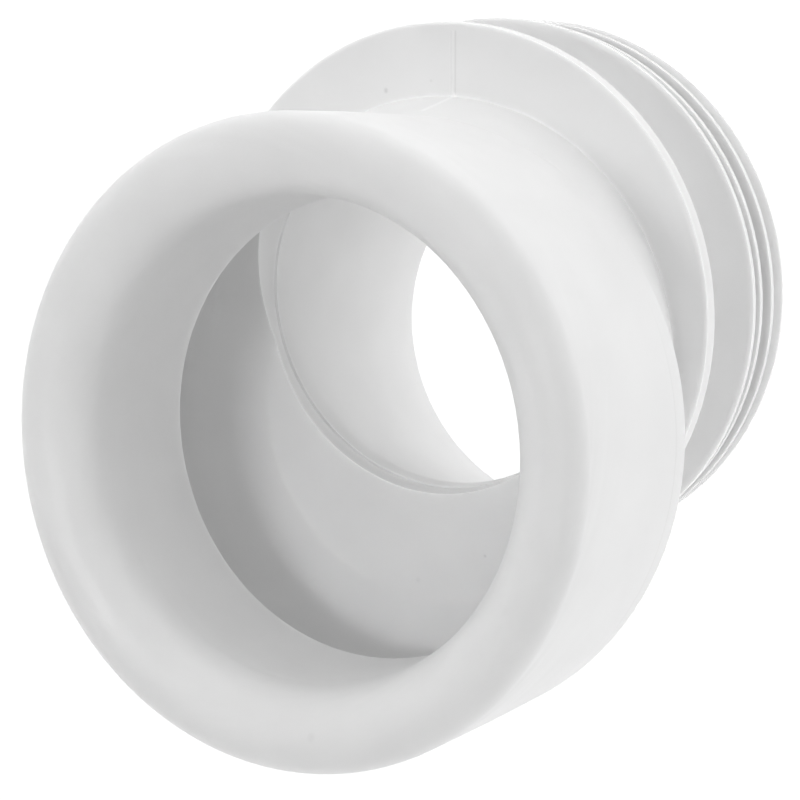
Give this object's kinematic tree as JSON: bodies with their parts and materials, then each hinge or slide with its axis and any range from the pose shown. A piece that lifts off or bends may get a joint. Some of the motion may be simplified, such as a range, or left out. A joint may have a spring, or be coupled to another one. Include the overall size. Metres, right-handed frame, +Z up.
{
  "type": "offset toilet pan connector",
  "caption": "Soft push-fit connector: a wide bell with a tapered inner lip, an offset neck and a finned spigot join a toilet outlet to a soil pipe.",
  "frame": {"origin": "on the floor under the spigot's end, in the middle of the overall width and depth", "axes": "+Z up out of the bell's mouth, +Y from the bell's axis towards the fins' axis"},
  "size_m": [0.1248, 0.1402, 0.1259],
  "materials": {
    "plastic": "satin"
  },
  "bodies": {
    "root": {"pan_connector": "plastic"}
  },
  "joints": []
}
